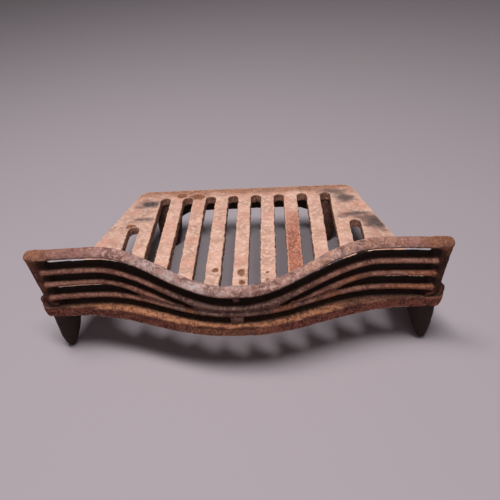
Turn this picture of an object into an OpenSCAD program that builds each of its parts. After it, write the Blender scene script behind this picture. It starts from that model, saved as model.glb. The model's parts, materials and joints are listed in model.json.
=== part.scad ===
// Cast iron log grate for an open hearth.
// A slotted bed stands on four legs and has a serpentine ledge along its front.
// A loose serpentine fret stands on that ledge and lifts straight off it.
// Each casting is drawn as its members, which meet face to face.
// X runs left to right, Y from the front (negative) to the back, Z up.
// The origin is on the hearth, below the middle of the whole grate.

/* [Bed plate] */
// Thickness of the cast plate
deck_t = 10.5; // [8:0.5:14]
// Clear height from the hearth to the underside of the plate
leg_h = 46.8; // [36:0.2:60]
// Width of each bar
bar_w = 15.2; // [13:0.2:18]
// Width of each air slot, whose ends are half round
slot_w = 11.8; // [9:0.2:14]
// Solid plate between the back edge and the slots
back_strip = 16.5; // [13:0.5:22]
// Plate beside the outermost bar's centre line, at the back edge
shoulder_w = 18; // [14:1:24]
// Distance from the back edge to the short outer slots
short_slot_start = 74.8; // [60:0.2:90]
// Sideways flare of the flanks for each millimetre forward
flank_flare = 0.3; // [0.2:0.01:0.36]
// Radius of the two back corners
back_corner_r = 14; // [8:1:20]

/* [Front ledge] */
// Distance from the back edge to the ledge's straight ends
ledge_line = 201.2; // [180:0.2:230]
// How far the middle of the ledge bows forward
ledge_bow = 30.5; // [20:0.5:40]
// Half the length of the bowed part of the ledge
ledge_reach = 150; // [135:1:160]
// Radius of the ledge's end corners
ledge_corner_r = 8; // [5:0.5:12]
// Width of the sloping cut under each end of the ledge
end_bevel = 4.5; // [2:0.5:6]

/* [Rear skirt] */
// Thickness of the skirt
skirt_t = 10; // [7:0.5:14]
// Depth of the skirt below the plate, over its opening
skirt_drop = 13; // [8:0.5:18]
// Depth of the skirt where it meets the rear legs
skirt_ear = 34; // [28:1:36]
// Width of the skirt's top edge beside the opening's foot
ear_w = 28; // [26:1:36]
// Length over which each end of the opening curves down
arch_run = 30; // [18:1:34]
// Half the width of the skirt's top edge
skirt_half_w = 114; // [108:1:115]

/* [Legs] */
// Radius of a front leg at the plate
front_leg_r = 14.5; // [11:0.5:15]
// How fast a front leg narrows to its tip, where 0.5 gives a parabola
front_leg_taper = 0.5; // [0.3:0.05:0.6]
// Distance of a front leg's foot from the middle
front_foot_x = 172; // [162:0.2:174]
// How far a front leg's foot stands outside its top
front_foot_out = 6; // [3:0.5:8]
// How far a front leg's foot stands in front of its top
front_foot_fwd = 6.5; // [2:0.5:9]
// Radius of a rear leg at the plate
rear_leg_r = 17.5; // [13:0.5:18]
// How fast a rear leg narrows to its blunter tip
rear_leg_taper = 0.2; // [0.1:0.05:0.4]
// Distance of a rear leg's foot inside the end of the skirt's top edge
rear_foot_inset = 20; // [17:0.5:24]
// How far a rear leg's foot stands inside its top
rear_foot_in = 4; // [2:0.5:6]
// How far a rear leg's foot stands in front of its top
rear_foot_fwd = 32; // [28:0.5:36]
// Depth of the flat face cut across every leg's tip, which stands on the hearth
leg_tip_cut = 1; // [0.5:0.1:2]

/* [Fret plan] */
// Distance from the back edge to the front of the fret's straight ends
fret_line = 197; // [192:0.2:199]
// How far the middle of the fret bows forward
fret_bow = 29.5; // [20:0.5:34]
// Half the length of the fret's bowed part
fret_reach = 125; // [110:1:135]
// How far the tips of the fret turn forward again
fret_tip_sweep = 2.5; // [0:0.5:4]
// Depth of every member of the fret, front to back
fret_depth = 12.5; // [10:0.5:14]
// Half the length of the flat stretch in the middle
middle_flat = 6; // [5:0.5:8]
// Plate left between the back of the fret and the slots
slot_margin = 4.5; // [3:0.5:12]

/* [Fret heights] */
// Height of the lowest bar above the ledge
foot_gap = 6.4; // [5:0.2:9]
// Height of the lower bar's nose
lower_bar_h = 6.2; // [5:0.1:8]
// Gap over the lower bar, at the ends
lower_gap = 9.6; // [7:0.2:12]
// Height of the middle bar's nose, at the ends
middle_bar_h = 5.9; // [4.5:0.1:7]
// Gap over the middle bar, at the ends
middle_gap = 7.9; // [6:0.1:10]
// Height of the upper bar's nose, at the ends
upper_bar_h = 5.2; // [4.5:0.1:7]
// Gap over the upper bar, at the ends
upper_gap = 11; // [8:0.2:13]
// Height of the top rail
rail_h = 6.2; // [5:0.1:8]
// How far the top rail dips in the middle
rail_dip = 23.9; // [20:0.1:26]
// How far the upper bar dips in the middle
upper_dip = 23.4; // [21:0.1:24.4]
// How far the middle bar would dip in the middle
middle_dip = 22.5; // [20:0.1:24]
// Half the length over which the bars rise to their ends
rise_reach = 120; // [110:1:130]
// Distance from the middle at which the upper bar meets the lower bar
upper_join = 36; // [30:1:40]
// Distance from the middle at which the middle bar meets the lower bar
middle_join = 86; // [80:1:92]
// Growth in the height of the bars towards the middle
bar_swell = 1.8; // [0.5:0.1:2.5]
// Extra height of a bar's back below its nose
bar_draft = 1.2; // [0.4:0.1:1.6]
// Extra height of the upper bar's back above its nose
upper_back_rise = 2; // [1:0.1:2.6]
// Extra height of the middle bars' backs above their noses
middle_back_rise = 0.4; // [0.2:0.1:1.6]
// Extra height of the lower bar's back above its nose
lower_back_rise = 0.9; // [0.3:0.1:1.2]

/* [Fret posts and stays] */
// Width of an end post just above its foot
post_w = 4.3; // [3.5:0.1:6]
// How far the post's outer edge leans out by its top
post_flare = 6.6; // [4:0.2:7]
// How far the foot reaches in under the lowest bar
toe_w = 6.7; // [4:0.1:9]
// Radius of the post's top corner
post_corner_r = 7; // [3:0.5:8]
// Radius of the post's two outer edges
post_edge_r = 6; // [1:0.5:6]
// Width of the foot in the middle
middle_foot_w = 11; // [8:0.5:12]
// Width of the stay between the upper bar and the rail
stay_w = 5; // [3:0.5:8]

/* [Lugs] */
// Width of a lug's back end at its root
lug_w = 4.6; // [3:0.2:6]
// Height of a lug above the ledge
lug_h = 8; // [5:0.5:12]
// Length of a lug, front to back
lug_len = 8; // [6:0.5:12]
// Distance from the ledge's straight front to a lug
lug_setback = 5.2; // [3:0.2:9]
// Distance from a lug's outer face to the edge of the plate
lug_inset = 0.6; // [0.2:0.1:2]
// Clearance between the fret's foot and a lug
lug_clearance = 0.6; // [0.3:0.1:1.5]
// Sideways lean of the post's lower outer edge, and of the lug beside it
foot_lean = 2.8; // [1:0.2:4]
// Height over which the post's outer edge leans so
foot_lean_h = 15; // [12:1:20]

/* [Hidden] */

// Counts, and limits of drawing
long_slots = 8;
bar_count = long_slots + 1;
fret_steps = 22;
plan_steps = 40;
arc_steps = 6;
leg_steps = 12;
leg_sides = 36;
round_fn = 48;
far = 400;

// Length of a slot's straight sides that belongs to the plate behind the bars
bar_root = 2;

// Places in plan
pitch = bar_w + slot_w;
slot_r = slot_w / 2;
grate_depth = ledge_line + ledge_bow;
back_y = grate_depth / 2;
ledge_y = back_y - ledge_line;
back_half_w = pitch * long_slots / 2 + shoulder_w;
slot_back_y = back_y - back_strip - slot_r;
short_slot_y = back_y - short_slot_start - slot_r;
bar_back_y = slot_back_y - bar_root;
outer_bar_back_y = short_slot_y - bar_root;
outer_slot_x = pitch * (long_slots + 1) / 2;
flank_stretch = sqrt(1 + flank_flare * flank_flare);
flank_turn = atan(flank_flare);
lug_front_y = ledge_y + lug_setback;
lug_back_y = lug_front_y + lug_len;
foot_outer_x = flank_x(lug_back_y) - lug_inset - lug_w - lug_clearance;
post_inner_x = foot_outer_x - post_w;

// Levels
deck_top = leg_h + deck_t;
lower_low_z = deck_top + foot_gap;
lower_top_z = lower_low_z + lower_bar_h;
middle_top_z = lower_top_z + lower_gap + middle_bar_h;
upper_top_z = middle_top_z + middle_gap + upper_bar_h;
rail_low_z = upper_top_z + upper_gap;
fret_top_z = rail_low_z + rail_h;
lower_under_z = lower_low_z - bar_draft / 2;
seam_z = lower_top_z + lower_back_rise;

// How far behind the plate the axis of a rear leg would end
rear_leg_set = 2;

// Details of the bars' sections and of the places where two bars run together
nose_depth = fret_depth / 2;
nose_round = 1.9;
seam_groove = 0.8;
tip_h = 1;
join_fill = 3.4;
join_fade = 5;
middle_end_x = upper_join + 2 * join_fade;

// Half-width of the bed at a given y, along the straight flanks
function flank_x(y) = back_half_w + flank_flare * (back_y - y);

// 0 up to the middle flat, then 1 from the reach outwards
function part_way(x, reach) = min(1, max(0, (abs(x) - middle_flat) / (reach - middle_flat)));
function ease(t) = (1 - cos(180 * t)) / 2;

// Front edges of the ledge and of the fret in plan, and the line of the slots' ends
function ledge_front(x) = ledge_y - ledge_bow * (1 - ease(part_way(x, ledge_reach)));
function tip_turn(x) = pow(max(0, abs(x) - fret_reach) / (post_inner_x - fret_reach), 2);
function fret_y(x) = back_y - fret_line
    - fret_bow * (1 - ease(part_way(x, fret_reach))) - fret_tip_sweep * tip_turn(x);
function slot_end_y(x) = fret_y(min(abs(x), outer_slot_x)) + fret_depth + slot_margin + slot_r;

// Dip of the rail, and the straighter dip, swelling and closing fillet of the bars
function rail_dip_at(x) = 1 - ease(part_way(x, rise_reach));
function bar_dip_at(x) = 1 - (part_way(x, rise_reach) + ease(part_way(x, rise_reach))) / 2;
function swell_at(x) = bar_swell * (1 - part_way(x, rise_reach));
function fill_at(x, join) = join_fill * exp((join - abs(x)) / join_fade);

// Levels of the fret's members at x
function rail_low(x) = rail_low_z - rail_dip * rail_dip_at(x);
function upper_top(x) = upper_top_z - upper_dip * bar_dip_at(x);
function upper_low(x) = upper_top(x) - upper_bar_h - swell_at(x) - fill_at(x, upper_join);
function middle_top(x) = max(middle_top_z - middle_dip * bar_dip_at(x), seam_z + tip_h);
function middle_low(x) = middle_top(x) - middle_bar_h - swell_at(x) - fill_at(x, middle_join);

// Section of a bar at x: a tall back that narrows to a rounded nose.
// Where the bar runs into the lower bar, its back rests on the seam.
function bar_ring(x, low, high, back_rise) = let (
    y = fret_y(x), nose_low = max(low, seam_z + seam_groove),
    nose_high = max(high, nose_low + tip_h / 2), third = (nose_high - nose_low) / 3,
    back_low = max(low - bar_draft, seam_z), back_high = nose_high + back_rise)
    [[x, y + fret_depth, back_low], [x, y + nose_depth, back_low],
     [x, y + nose_round, nose_low], [x, y, nose_low + third],
     [x, y, nose_high - third], [x, y + nose_round, nose_high],
     [x, y + nose_depth, back_high], [x, y + fret_depth, back_high]];

// Section of the lower bar, which stays level and has the seam as its top
function lower_ring(x) = let (y = fret_y(x), third = lower_bar_h / 3)
    [[x, y + fret_depth, lower_under_z], [x, y + nose_depth, lower_under_z],
     [x, y + nose_round, lower_low_z], [x, y, lower_low_z + third],
     [x, y, lower_top_z - third], [x, y + nose_round, lower_top_z],
     [x, y + nose_depth, seam_z], [x, y + fret_depth, seam_z]];

// Rounded top of the rail, as places in y and z from its front to its back
function rail_crown(x) = let (y = fret_y(x), high = rail_low(x) + rail_h)
    [[y, high - rail_h / 2], [y + fret_depth * 0.16, high - rail_h * 0.12],
     [y + fret_depth * 0.4, high], [y + fret_depth * 0.8, high],
     [y + fret_depth, high - rail_h * 0.25]];

// Section of the rail: a flat underside below its crown
function rail_ring(x) = let (y = fret_y(x), low = rail_low(x))
    concat([[x, y + fret_depth, low], [x, y + nose_round, low], [x, y, low + nose_round]],
        [for (p = rail_crown(x)) [x, p[0], p[1]]]);

// Even stations from one x to another
function stations(from, to, steps) = [for (i = [0 : steps]) from + (to - from) * i / steps];
full_run = concat(
    stations(-post_inner_x, -middle_flat, fret_steps),
    stations(middle_flat, post_inner_x, fret_steps));

// Skins a list of rings that all have the same number of points
module skin(rings) {
    n = len(rings[0]);
    last = len(rings) - 1;
    polyhedron(
        points = [for (ring = rings) for (p = ring) p],
        faces = concat(
            [[for (k = [0 : n - 1]) n - 1 - k]],
            [for (i = [0 : last - 1]) for (k = [0 : n - 1]) let (m = (k + 1) % n)
                [i * n + k, i * n + m, (i + 1) * n + m]],
            [for (i = [0 : last - 1]) for (k = [0 : n - 1]) let (m = (k + 1) % n)
                [i * n + k, (i + 1) * n + m, (i + 1) * n + k]],
            [[for (k = [0 : n - 1]) last * n + k]]));
}

// Right half of the bed's outline, from the back to the front
corner_x = back_half_w + flank_flare * back_corner_r - flank_stretch * back_corner_r;
corner_y = back_y - back_corner_r;
tip_y = ledge_y + ledge_corner_r;
tip_x = flank_x(tip_y) - flank_stretch * ledge_corner_r;
function arc_point(cx, cy, r, a) = [cx + r * cos(a), cy + r * sin(a)];
right_edge = concat(
    [for (i = [0 : arc_steps])
        arc_point(corner_x, corner_y, back_corner_r, 90 - (90 - flank_turn) * i / arc_steps)],
    [for (i = [0 : arc_steps])
        arc_point(tip_x, tip_y, ledge_corner_r, flank_turn - (90 + flank_turn) * i / arc_steps)],
    [for (x = stations(ledge_reach, middle_flat, plan_steps / 2)) [x, ledge_front(x)]]);

module bed_outline() {
    n = len(right_edge);
    polygon(concat(right_edge, [for (i = [n - 1 : -1 : 0]) [-right_edge[i][0], right_edge[i][1]]]));
}

// A slot with half-round ends
module slot(x, start_y, end_y) {
    translate([x - slot_r, end_y]) square([slot_w, start_y - end_y]);
    for (y = [start_y, end_y]) translate([x, y]) circle(r = slot_r, $fn = round_fn);
}

module slots() {
    for (i = [0 : long_slots - 1]) {
        x = pitch * (i - (long_slots - 1) / 2);
        slot(x, slot_back_y, slot_end_y(x));
    }
    for (side = [-1, 1]) slot(side * outer_slot_x, short_slot_y, slot_end_y(outer_slot_x));
}

module bed_plan() {
    difference() {
        bed_outline();
        slots();
    }
}

// Plan areas that part the bed into its members
module front_zone() {
    polygon(concat(
        [[-far, slot_end_y(far)]],
        [for (x = stations(-ledge_reach, ledge_reach, plan_steps)) [x, slot_end_y(x)]],
        [[far, slot_end_y(far)], [far, -far], [-far, -far]]));
}

module column(x_from, x_to, y_to) {
    translate([x_from, -far]) square([x_to - x_from, y_to + far]);
}

// Plate of the bed over a plan area
module deck(colour = "#b48a70") {
    color(colour) translate([0, 0, leg_h]) linear_extrude(deck_t) intersection() {
        bed_plan();
        children();
    }
}

// Plate with its shape drawn as seen from the front, from y_back forwards
module upright(y_back, depth) {
    translate([0, y_back, 0]) rotate([90, 0, 0]) linear_extrude(depth) children();
}

// Bed: the plate's members

module back_rail() {
    deck() translate([-far, bar_back_y]) square([2 * far, far]);
}

// Bars 2 to 8 start at the back rail, and bars 1 and 9 at the shoulders
module grate_bar(number) {
    middle_x = pitch * (number - (bar_count + 1) / 2);
    outer = number == 1 || number == bar_count;
    deck() difference() {
        column(middle_x - pitch / 2, middle_x + pitch / 2, outer ? outer_bar_back_y : bar_back_y);
        front_zone();
    }
}

// Shoulder and flank, around the short slot
module side(sign) {
    inner_x = outer_slot_x - pitch;
    deck() difference() {
        column(sign > 0 ? inner_x : -far, sign > 0 ? far : -inner_x, bar_back_y);
        column(-outer_slot_x, outer_slot_x, outer_bar_back_y);
        front_zone();
    }
}

// The ends of the ledge are cut away below, in line with the legs' outer sides
module front_ledge() {
    top_x = tip_x + ledge_corner_r;
    intersection() {
        deck() front_zone();
        upright(far, 2 * far) polygon([
            [-top_x, deck_top], [-top_x, deck_top - nose_round], [end_bevel - top_x, leg_h],
            [top_x - end_bevel, leg_h], [top_x, deck_top - nose_round], [top_x, deck_top]]);
    }
}

// Bed: what hangs below the plate

module rear_skirt() {
    arch_half_w = skirt_half_w - ear_w;
    top_z = leg_h - skirt_drop;
    ear_z = leg_h - skirt_ear;
    right = concat(
        [[skirt_half_w, leg_h], [skirt_half_w - skirt_ear / 6, ear_z], [arch_half_w, ear_z]],
        [for (i = [1 : 2 * arc_steps]) let (a = 45 * i / arc_steps)
            [arch_half_w - arch_run * (1 - cos(a)), ear_z + (top_z - ear_z) * sin(a)]]);
    left = [for (i = [len(right) - 1 : -1 : 0]) [-right[i][0], right[i][1]]];
    color("#5a3a2e") upright(back_y, skirt_t) polygon(concat(right, left));
}

// A round leg that swells upwards from its tip and leans from its foot to its top.
// It stops at the front of the skirt.
module leg(top_r, taper, foot, lean) {
    color("#2a1c17") intersection() {
        skin([for (i = [0 : leg_steps]) let (
            z = leg_h * pow(i / leg_steps, 2), middle = foot + lean * z / leg_h,
            r = top_r * pow((z + leg_tip_cut) / (leg_h + leg_tip_cut), taper))
            [for (k = [0 : leg_sides - 1]) let (a = -360 * k / leg_sides)
                [middle[0] + r * cos(a), middle[1] + r * sin(a), z]]]);
        translate([-far, -far, 0]) cube([2 * far, far + back_y - skirt_t, leg_h]);
    }
}

module front_leg(sign) {
    foot_y = ledge_y + front_leg_r - front_foot_fwd;
    leg(front_leg_r, front_leg_taper,
        [sign * front_foot_x, foot_y], [-sign * front_foot_out, front_foot_fwd]);
}

module rear_leg(sign) {
    foot_y = back_y + rear_leg_set - rear_foot_fwd;
    leg(rear_leg_r, rear_leg_taper,
        [sign * (skirt_half_w - rear_foot_inset), foot_y], [sign * rear_foot_in, rear_foot_fwd]);
}

// Bed: a lug outside each foot of the fret, which keeps it from sliding sideways
module lug(sign) {
    root_x = foot_outer_x + lug_clearance;
    color("#5a3a2e") mirror([sign < 0 ? 1 : 0, 0, 0]) intersection() {
        translate([0, 0, deck_top]) linear_extrude(lug_h) intersection() {
            bed_outline();
            polygon([[0, lug_front_y], [flank_x(lug_front_y) - lug_inset, lug_front_y],
                [flank_x(lug_back_y) - lug_inset, lug_back_y], [0, lug_back_y]]);
        }
        upright(far, 2 * far) polygon([
            [root_x, deck_top], [root_x + foot_lean * lug_h / foot_lean_h, deck_top + lug_h],
            [far, deck_top + lug_h], [far, deck_top]]);
    }
}

// Fret

module top_rail() {
    color("#7d5a55") skin([for (x = full_run) rail_ring(x)]);
}

module upper_bar() {
    color("#4d2d24") skin([for (x = full_run)
        bar_ring(x, upper_low(x), upper_top(x), upper_back_rise)]);
}

module middle_bar(sign) {
    run = sign > 0 ? stations(middle_end_x, post_inner_x, fret_steps)
        : stations(-post_inner_x, -middle_end_x, fret_steps);
    color("#6b3a2a") skin([for (x = run)
        bar_ring(x, middle_low(x), middle_top(x), middle_back_rise)]);
}

module lower_bar() {
    color("#6b3a2a") skin([for (x = full_run) lower_ring(x)]);
}

// Level outline of an end post, with rounded outer corners
function post_ring(outer_x, z) = let (
    inner_x = post_inner_x - toe_w, front_y = fret_y(post_inner_x), arc_x = outer_x - post_edge_r)
    concat([[inner_x, front_y + fret_depth, z]],
        [for (i = [0 : arc_steps]) let (a = 90 - 90 * i / arc_steps)
            [arc_x + post_edge_r * cos(a), front_y + fret_depth - post_edge_r * (1 - sin(a)), z]],
        [for (i = [0 : arc_steps]) let (a = -90 * i / arc_steps)
            [arc_x + post_edge_r * cos(a), front_y + post_edge_r * (1 + sin(a)), z]],
        [[inner_x, front_y, z]]);

// An end post, with its foot drawn out under the lower bar and its top rounded like the rail's
module post(sign) {
    lean_x = foot_outer_x + foot_lean;
    top_x = foot_outer_x + post_flare;
    toe_x = post_inner_x - toe_w;
    front_y = fret_y(post_inner_x);
    color("#4d2d24") mirror([sign < 0 ? 1 : 0, 0, 0]) intersection() {
        skin([post_ring(foot_outer_x, deck_top), post_ring(lean_x, deck_top + foot_lean_h),
            post_ring(top_x, fret_top_z)]);
        upright(front_y + fret_depth, fret_depth) polygon(concat(
            [[post_inner_x, fret_top_z]],
            [for (i = [arc_steps : -1 : 0]) arc_point(top_x - post_corner_r,
                fret_top_z - post_corner_r, post_corner_r, 90 * i / arc_steps)],
            [[top_x, deck_top], [toe_x, deck_top],
             [toe_x + toe_w / 3, (deck_top + lower_under_z) / 2],
             [post_inner_x, lower_under_z]]));
        rotate([90, 0, 90]) linear_extrude(far) polygon(concat(
            [[front_y + fret_depth, deck_top], [front_y, deck_top]], rail_crown(post_inner_x)));
    }
}

module middle_block(width, front, low, high) {
    translate([-width / 2, fret_y(0) + front, low])
        cube([width, fret_depth - front, high - low]);
}

module middle_foot() {
    color("#4d2d24") middle_block(middle_foot_w, nose_round, deck_top, lower_under_z);
}

module middle_stay() {
    color("#4d2d24") middle_block(stay_w, nose_depth, upper_top(0) + upper_back_rise, rail_low(0));
}

back_rail();
side(-1);  // side_left
side(1);  // side_right
grate_bar(1);  // grate_bar_1
grate_bar(2);  // grate_bar_2
grate_bar(3);  // grate_bar_3
grate_bar(4);  // grate_bar_4
grate_bar(5);  // grate_bar_5
grate_bar(6);  // grate_bar_6
grate_bar(7);  // grate_bar_7
grate_bar(8);  // grate_bar_8
grate_bar(9);  // grate_bar_9
front_ledge();
rear_skirt();
front_leg(-1);  // front_leg_left
front_leg(1);  // front_leg_right
rear_leg(-1);  // rear_leg_left
rear_leg(1);  // rear_leg_right
lug(-1);  // lug_left
lug(1);  // lug_right
top_rail();
upper_bar();
middle_bar(-1);  // middle_bar_left
middle_bar(1);  // middle_bar_right
lower_bar();
post(-1);  // post_left
post(1);  // post_right
middle_foot();
middle_stay();
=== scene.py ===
# %% [markdown]
# # A rusted cast iron log grate
# The grate is two loose castings: a slotted bed on four legs, and a serpentine fret that
# stands on the bed's front ledge. The CAD frame holds both, as sharp, clean members.
# This script gives each casting one rough skin, and rusts, stains and soots it, and some
# masks paint light and shade into its colour.

# %% Load the CAD frame
import itertools
import json
import math

import bmesh
import bpy
import numpy as np
from mathutils import Matrix, Vector, kdtree
from mathutils.bvhtree import BVHTree

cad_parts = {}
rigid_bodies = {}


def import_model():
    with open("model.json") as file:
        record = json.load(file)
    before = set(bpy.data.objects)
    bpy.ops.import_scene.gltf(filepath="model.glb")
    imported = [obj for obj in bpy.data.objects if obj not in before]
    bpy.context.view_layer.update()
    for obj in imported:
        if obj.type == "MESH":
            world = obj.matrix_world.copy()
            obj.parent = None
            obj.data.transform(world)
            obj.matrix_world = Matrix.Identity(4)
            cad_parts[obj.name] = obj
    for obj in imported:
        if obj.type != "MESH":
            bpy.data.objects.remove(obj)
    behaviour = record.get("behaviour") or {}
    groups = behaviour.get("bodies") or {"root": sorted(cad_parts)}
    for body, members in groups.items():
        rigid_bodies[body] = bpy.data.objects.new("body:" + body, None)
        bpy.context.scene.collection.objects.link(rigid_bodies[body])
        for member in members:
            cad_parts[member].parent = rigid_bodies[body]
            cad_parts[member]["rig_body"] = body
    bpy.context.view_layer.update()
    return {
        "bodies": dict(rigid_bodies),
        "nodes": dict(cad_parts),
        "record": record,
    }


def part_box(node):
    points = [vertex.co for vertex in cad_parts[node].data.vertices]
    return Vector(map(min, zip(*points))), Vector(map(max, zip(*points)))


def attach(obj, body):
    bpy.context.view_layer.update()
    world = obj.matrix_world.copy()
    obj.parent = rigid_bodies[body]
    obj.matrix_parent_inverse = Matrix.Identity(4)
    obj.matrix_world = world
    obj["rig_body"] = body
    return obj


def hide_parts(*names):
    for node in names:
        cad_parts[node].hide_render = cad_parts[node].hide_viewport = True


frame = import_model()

MM = 0.001
SEED = 1871
members = {body: [n for n, o in frame["nodes"].items() if o["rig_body"] == body]
           for body in frame["bodies"]}
print("castings and their members:", {body: len(names) for body, names in members.items()})

# %% [markdown]
# ## Places on the grate
# Rust and soot lie where the grate's own members put them: on the plate, under it and
# along the rail. The script works in metres, in the frame of the CAD part. It reads most
# of the places from the boxes of the CAD nodes, so that they follow a change of size.

# %% Read the levels and places from the frame
DECK_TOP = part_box("back_rail")[1].z
DECK_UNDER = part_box("back_rail")[0].z
BACK_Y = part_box("back_rail")[1].y
RAIL_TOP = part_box("top_rail")[1].z
POST_INNER_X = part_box("top_rail")[1].x
RED_BAR = "grate_bar_7"
RED_BAR_BACK_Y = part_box(RED_BAR)[1].y
print("plate from", round(DECK_UNDER / MM, 1), "to", round(DECK_TOP / MM, 1), "mm")

# %% [markdown]
# ## Random values that are the same every time
# No edge of a sand casting is straight, and no rust is even. Shaders have noise for
# colours, but moving points needs noise as plain numbers. `lumps` gives every point a
# smooth random value from -1 to 1. The values change over the distance `size`, so a large
# size makes waves and a small size makes grains. A seed makes every run the same.
#
# `ramp` and `near` then turn such values, or places on the grate, into smooth masks.

# %% Seeded lumps
LATTICE = 48


def lumps(points, size, seed):
    """Smooth random values from -1 to 1, one for each point."""
    values = np.random.default_rng(SEED + seed).uniform(-1, 1, (LATTICE,) * 3)
    cell = points / size
    base = np.floor(cell).astype(int)
    part = cell - base
    part = part * part * (3 - 2 * part)
    total = np.zeros(len(points))
    for corner in itertools.product((0, 1), repeat=3):
        weight = np.prod(np.where(corner, part, 1 - part), axis=1)
        index = (base + corner) % LATTICE
        total += weight * values[index[:, 0], index[:, 1], index[:, 2]]
    return total


print("lumps at two corners of the lattice:", lumps(np.eye(3)[:2], 1, 0).round(3))

# %% Smooth steps


def ramp(values, start, end):
    """Turns values smoothly into 0 at start and 1 at end."""
    part = np.clip((values - start) / (end - start), 0, 1)
    return part * part * (3 - 2 * part)


def near(values, middle, inner, outer):
    """1 where values are within inner of the middle, and smoothly 0 from outer on."""
    return 1 - ramp(np.abs(values - middle), inner, outer)


print("a ramp from 0 to 4:", ramp(np.arange(5), 0, 4).round(2))

# %% [markdown]
# ## One skin for each casting
# Iron is poured in one go, so the bars of the real grate run into its frame without a
# seam. Bevels could round each member, but not the places where members meet. A voxel
# remesh melts all the members of a casting into one closed skin instead.
#
# A few members are melted in twice, the second time a step aside. This makes the bars
# flare into the posts, and the fret's middle foot stand proud.

# %% Melt the members together
VOXEL = {"bed": 1.0 * MM, "fret": 0.8 * MM}
# Steps in mm. The copy is kept inside the back of the member's own box.
WEBS = {"post_left": (4.6, 4.0, 0), "post_right": (-4.6, 4.0, 0), "middle_foot": (0, -1.9, 0)}


def members_in_one(body):
    """One mesh of a casting's members and webs, which still cross each other."""
    joined = bmesh.new()
    for name in members[body]:
        joined.from_mesh(frame["nodes"][name].data)
    for name in [name for name in WEBS if name in members[body]]:
        web = frame["nodes"][name].data.copy()
        web.transform(Matrix.Translation(Vector(WEBS[name]) * MM))
        for vertex in web.vertices:
            vertex.co.y = min(vertex.co.y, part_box(name)[1].y)
        joined.from_mesh(web)
        bpy.data.meshes.remove(web)
    mesh = bpy.data.meshes.new(body)
    joined.to_mesh(mesh)
    joined.free()
    return mesh


def melt(body):
    """The points, edges and faces of one closed skin round a casting's members."""
    blank = bpy.data.objects.new(body, members_in_one(body))
    bpy.context.scene.collection.objects.link(blank)
    remesh = blank.modifiers.new("melt", "REMESH")
    remesh.mode = "VOXEL"
    remesh.voxel_size = VOXEL[body] * 1
    depsgraph = bpy.context.evaluated_depsgraph_get()
    melted = bpy.data.meshes.new_from_object(blank.evaluated_get(depsgraph))
    bpy.data.objects.remove(blank)
    points = np.zeros(len(melted.vertices) * 3)
    melted.vertices.foreach_get("co", points)
    edges = np.zeros(len(melted.edges) * 2, int)
    melted.edges.foreach_get("vertices", edges)
    faces = [tuple(face.vertices) for face in melted.polygons]
    bpy.data.meshes.remove(melted)
    return {"points": points.reshape(-1, 3), "edges": edges.reshape(-1, 2), "faces": faces}


skins = {body: melt(body) for body in members}
for body, skin in skins.items():
    print(body, "skin:", len(skin["points"]), "points,", len(skin["faces"]), "faces")

# %% [markdown]
# The remesh leaves fine steps and sharp inner corners. A Smooth modifier would take the
# steps away, but would thin the bars as well, so the skin is smoothed in and out by
# turns. The fillets of the real castings come next: only points that lie in a hollow move
# out, as if iron filled it. The fret's upper outer corners are smoothed the most.

# %% Measure a skin


def neighbour_mean(skin, values):
    """The mean of each point's neighbours."""
    start, end = skin["edges"].T
    here, there = np.concatenate((start, end)), np.concatenate((end, start))
    count = np.bincount(here)
    if values.ndim == 1:
        return np.bincount(here, values[there]) / count
    return np.stack([np.bincount(here, column[there]) / count for column in values.T], axis=1)


def gap_to_neighbours(skin):
    """The way from each point to the mean of its neighbours."""
    return neighbour_mean(skin, skin["points"]) - skin["points"]


def normals_of(skin):
    """Unit normals at the skin's points."""
    mesh = bpy.data.meshes.new("scratch")
    mesh.from_pydata(skin["points"].tolist(), [], skin["faces"])
    normals = np.zeros(len(skin["points"]) * 3)
    mesh.vertices.foreach_get("normal", normals)
    bpy.data.meshes.remove(mesh)
    return normals.reshape(-1, 3)


for body, skin in skins.items():
    steps = np.linalg.norm(gap_to_neighbours(skin), axis=1)
    print(body, "steps of", round(float(steps.mean()) / MM, 3), "mm on average")

# %% Smooth the skins and fill their hollows
SMOOTH_ROUNDS = {"bed": 3, "fret": 6}
SMOOTH_IN, SMOOTH_OUT = 0.5, -0.53
FILL_ROUNDS = {"bed": 6, "fret": 24}
# How deep a point lies, in voxels, where it starts to move out and where it moves fully
HOLLOW = (0.01, 0.08)
CORNER_ROUNDS = 16
CORNER_ASIDE = (0, 5 * MM)
CORNER_BELOW = (-16 * MM, -9 * MM)


def even_out(skin, rounds):
    """Smooths the finest steps of a skin away, in and out by turns."""
    for _ in range(rounds):
        for share in (SMOOTH_IN, SMOOTH_OUT):
            skin["points"] += share * gap_to_neighbours(skin)


def fill_hollows(skin, rounds, voxel):
    """Moves only the points that lie in a hollow out."""
    normals = normals_of(skin)
    for _ in range(rounds):
        gap = gap_to_neighbours(skin)
        outward = np.einsum("ij,ij->i", gap, normals) / voxel
        skin["points"] += gap * ramp(outward, *HOLLOW)[:, None]


def at_corner(points):
    """1 at the upper outer corners of the fret, 0 away from them."""
    aside = ramp(np.abs(points[:, 0]) - POST_INNER_X, *CORNER_ASIDE)
    return aside * ramp(points[:, 2] - RAIL_TOP, *CORNER_BELOW)


for body, skin in skins.items():
    even_out(skin, SMOOTH_ROUNDS[body])
    fill_hollows(skin, FILL_ROUNDS[body], VOXEL[body])
    if body == "fret":
        for _ in range(CORNER_ROUNDS):
            skin["points"] += gap_to_neighbours(skin) * at_corner(skin["points"])[:, None]
    even_out(skin, SMOOTH_ROUNDS[body])
    steps = np.linalg.norm(gap_to_neighbours(skin), axis=1)
    print(body, "smoothed, steps of", round(float(steps.mean()) / MM, 3), "mm on average")

# %% [markdown]
# The remesh has forgotten which member is which. Boxes could tell, but they overlap where
# bars curve, so each point belongs to the CAD member whose surface is nearest. This
# decides which piece a face goes to later, and which members get extra wear.

# %% Find the member that each point belongs to


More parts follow.
